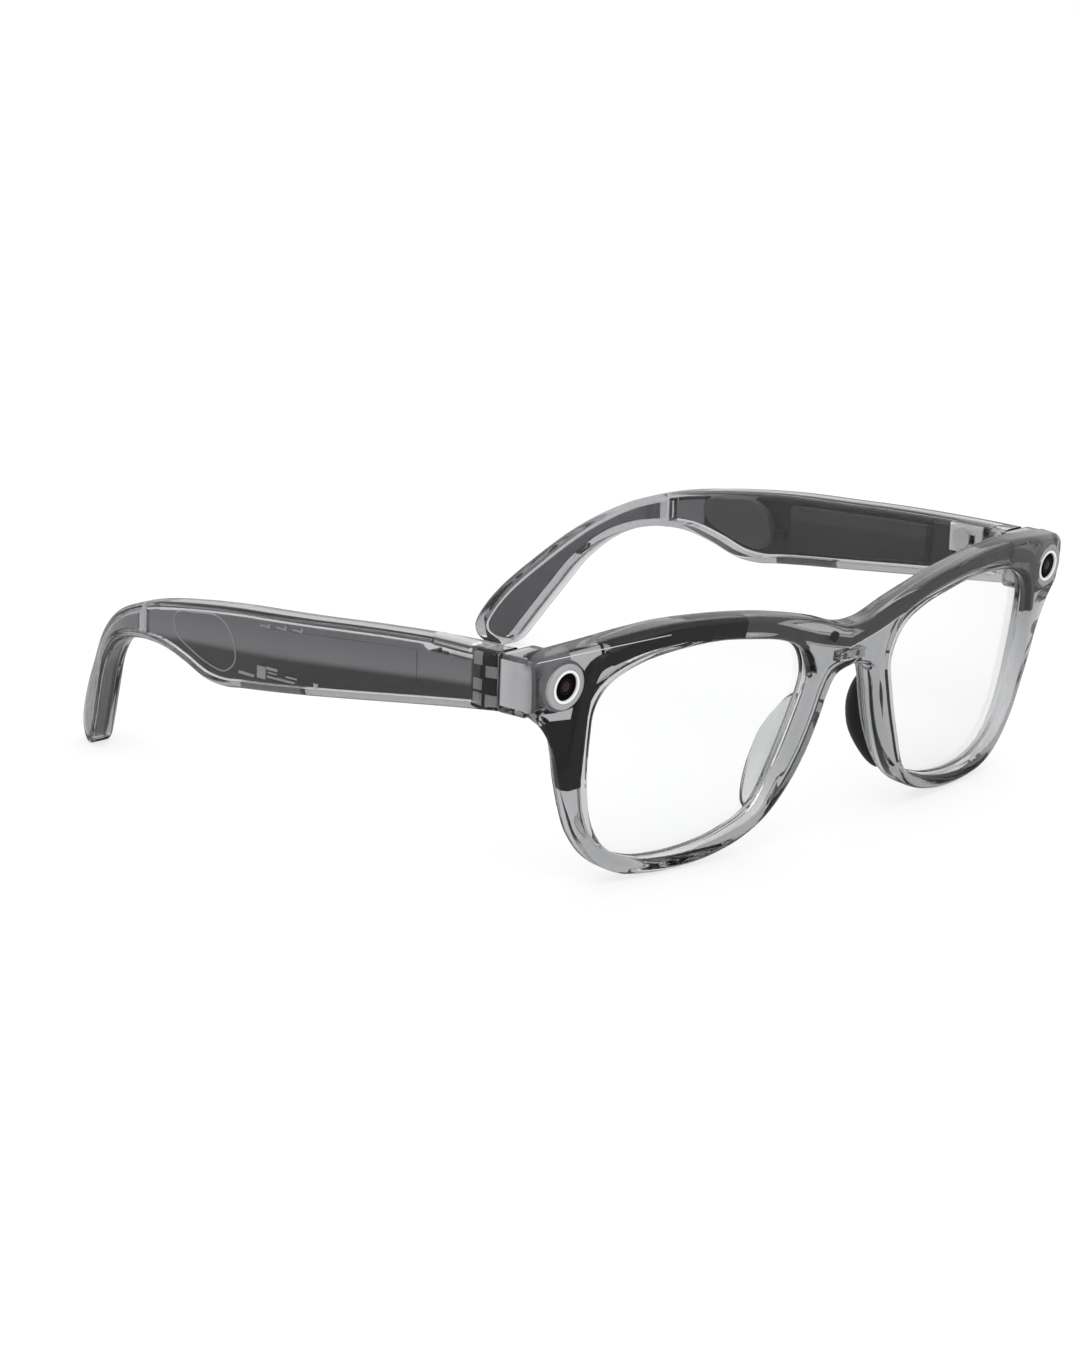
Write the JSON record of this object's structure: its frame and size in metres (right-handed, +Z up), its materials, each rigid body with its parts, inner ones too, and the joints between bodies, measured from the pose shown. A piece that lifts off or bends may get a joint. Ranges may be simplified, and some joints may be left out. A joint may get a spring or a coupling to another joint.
{
  "type": "smart glasses",
  "caption": "Smart glasses with a clear wrapped frame, camera and light modules in the end blocks, speakers in the hollow temples, and temples that fold on screw hinges.",
  "frame": {"origin": "centre of the bounding box, on the plane that the rims and the tips rest on", "axes": "+X towards the wearer's left, -Y forwards through the lenses, +Y along the open temples, +Z up"},
  "size_m": [0.1518, 0.1352, 0.0448],
  "materials": {
    "clear_smoke": "polished clear smoke grey",
    "lens_clear": "polished clear",
    "pad_dark": "polished dark grey",
    "bezel_grey": "satin light grey",
    "ring_white": "gloss white",
    "window_black": "polished black",
    "housing_grey": "satin",
    "barrel_black": "matt",
    "board": "solder-masked laminate",
    "carrier_dark": "fine satin",
    "flex": "amber film",
    "contact_gold": "plated",
    "hinge_steel": "satin",
    "screw_steel": "polished",
    "can_silver": "satin",
    "battery_foil": "satin foil",
    "grille_grey": "satin",
    "button_silver": "satin"
  },
  "bodies": {
    "front": {"front_frame": "clear_smoke", "brow_cover": "clear_smoke", "lens_right": "lens_clear", "lens_left": "lens_clear", "nose_pad_right": "pad_dark", "nose_pad_left": "pad_dark", "light_bezel": "bezel_grey", "light_trim_ring": "ring_white", "light_window": "window_black", "light_housing": "housing_grey", "light_emitter": "board", "camera_bezel": "bezel_grey", "camera_trim_ring": "ring_white", "camera_window": "window_black", "camera_housing": "housing_grey", "camera_lens_barrel": "barrel_black", "camera_sensor_board": "board", "right_brow_carrier": "carrier_dark", "left_brow_carrier": "carrier_dark", "brow_flex": "flex", "bridge_microphone": "barrel_black", "charge_plate": "barrel_black", "charge_contacts": "contact_gold", "right_front_hinge": "hinge_steel", "left_front_hinge": "hinge_steel", "right_hinge_screw": "screw_steel", "left_hinge_screw": "screw_steel"},
    "right_temple": {"right_temple_shell": "clear_smoke", "right_temple_cover": "clear_smoke", "right_temple_hinge": "hinge_steel", "right_carrier": "carrier_dark", "right_main_board": "board", "right_shield_can": "can_silver", "right_touch_sensor": "carrier_dark", "right_speaker": "barrel_black", "right_speaker_grille": "grille_grey", "right_microphone": "can_silver", "right_antenna": "flex", "right_tip_core": "carrier_dark", "button_switch": "barrel_black"},
    "left_temple": {"left_temple_shell": "clear_smoke", "left_temple_cover": "clear_smoke", "left_temple_hinge": "hinge_steel", "left_carrier": "carrier_dark", "left_battery": "battery_foil", "left_power_board": "board", "left_speaker": "barrel_black", "left_speaker_grille": "grille_grey", "left_microphone": "can_silver", "left_antenna": "flex", "left_tip_core": "carrier_dark", "power_switch_base": "button_silver"},
    "capture_button": {"capture_button": "button_silver"},
    "power_switch": {"power_switch_knob": "button_silver"}
  },
  "joints": [
    {"name": "right_temple_fold", "type": "hinge", "parent": "front", "child": "right_temple", "pos_m": [-0.0676, -0.048, 0.0364], "axis": [0, 0, -1], "range_deg": [0, 75]},
    {"name": "left_temple_fold", "type": "hinge", "parent": "front", "child": "left_temple", "pos_m": [0.0676, -0.048, 0.0364], "axis": [0, 0, 1], "range_deg": [0, 84]},
    {"name": "capture_press", "type": "slide", "parent": "right_temple", "child": "capture_button", "axis": [0, 0, -1], "range_m": [0, 0.0004], "stiffness_N_per_m": 1500},
    {"name": "power_slide", "type": "slide", "parent": "left_temple", "child": "power_switch", "axis": [0, -1, 0], "range_m": [0, 0.002]}
  ]
}
